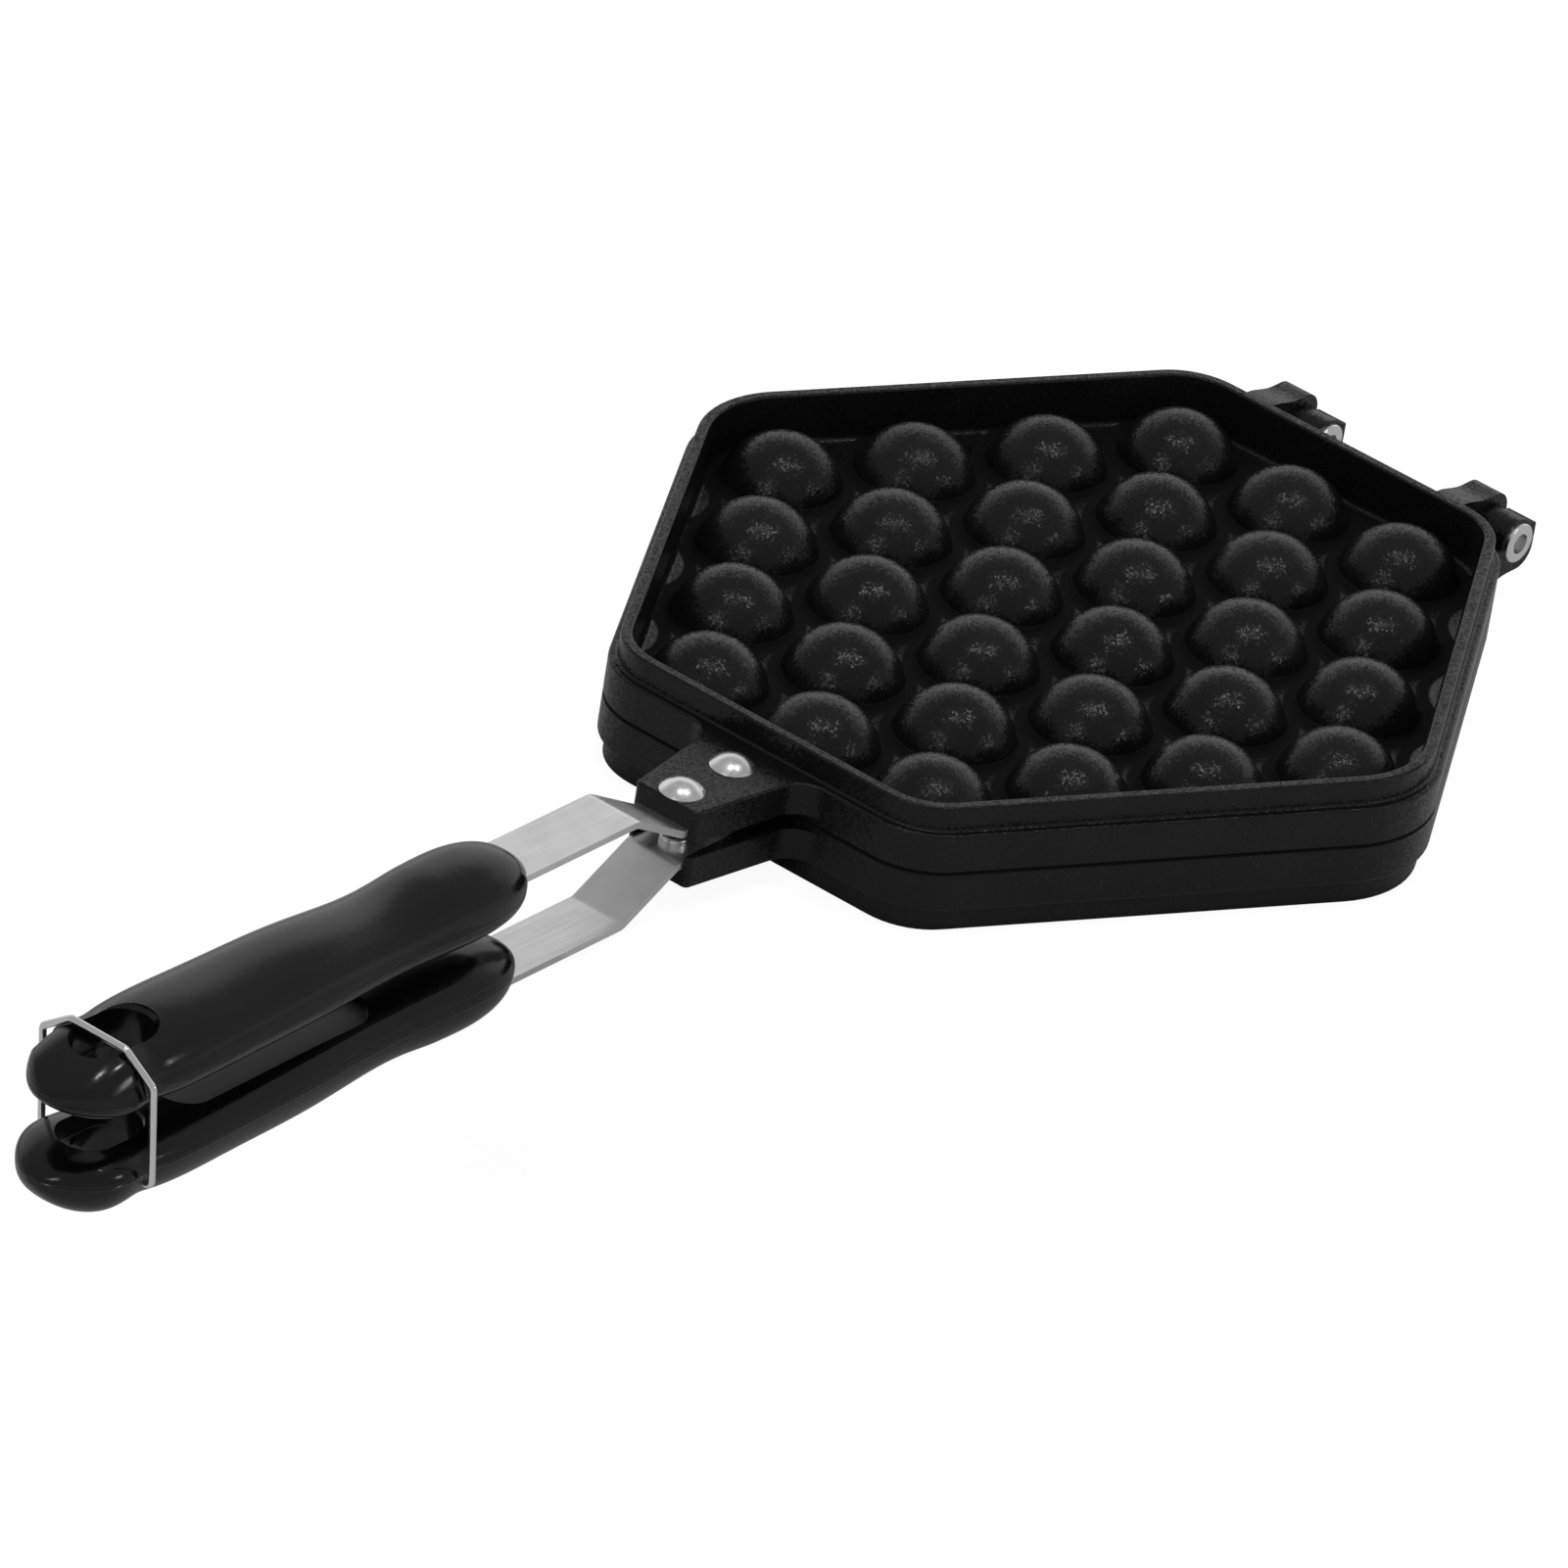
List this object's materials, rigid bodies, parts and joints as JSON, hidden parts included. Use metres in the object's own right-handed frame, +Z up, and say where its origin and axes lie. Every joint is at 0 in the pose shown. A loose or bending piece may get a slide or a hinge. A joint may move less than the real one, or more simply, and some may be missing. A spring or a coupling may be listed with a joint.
{
  "type": "egg waffle pan",
  "caption": "Stovetop egg waffle pan: hinged hexagonal castings with domed cells, strap handles with moulded grips, and a swing-over wire latch that holds the grips together",
  "frame": {"origin": "Under the middle of the closed pan's overall length and width, at the height of its lowest point, the underside of the lower grip.", "axes": "+X runs from the grips to the hinge, +Y to the left when looking along +X, +Z up, at right angles to the parting plane between the halves."},
  "size_m": [0.4226, 0.1832, 0.0379],
  "materials": {
    "casting": "dark non-stick coating, matt and faintly grained",
    "strap_steel": "plain rolled strip",
    "rivet_metal": "bright, as formed",
    "grip_plastic": "polished moulding",
    "wire_steel": "bright drawn wire"
  },
  "bodies": {
    "lower_half": {"lower_pan": "casting", "lower_strap": "strap_steel", "lower_rivets": "rivet_metal", "hinge_pins": "rivet_metal", "lower_grip": "grip_plastic"},
    "upper_half": {"upper_pan": "casting", "upper_strap": "strap_steel", "upper_rivets": "rivet_metal", "upper_grip": "grip_plastic"},
    "latch": {"latch_wire": "wire_steel"}
  },
  "joints": [
    {"name": "lid_hinge", "type": "hinge", "parent": "lower_half", "child": "upper_half", "pos_m": [0.2051, 0, 0.01894], "axis": [0, 1, 0], "range_deg": [0, 180]},
    {"name": "latch_swing", "type": "hinge", "parent": "lower_half", "child": "latch", "pos_m": [-0.19299, 0, 0.00834], "axis": [0, -1, 0], "range_deg": [0, 230]}
  ]
}
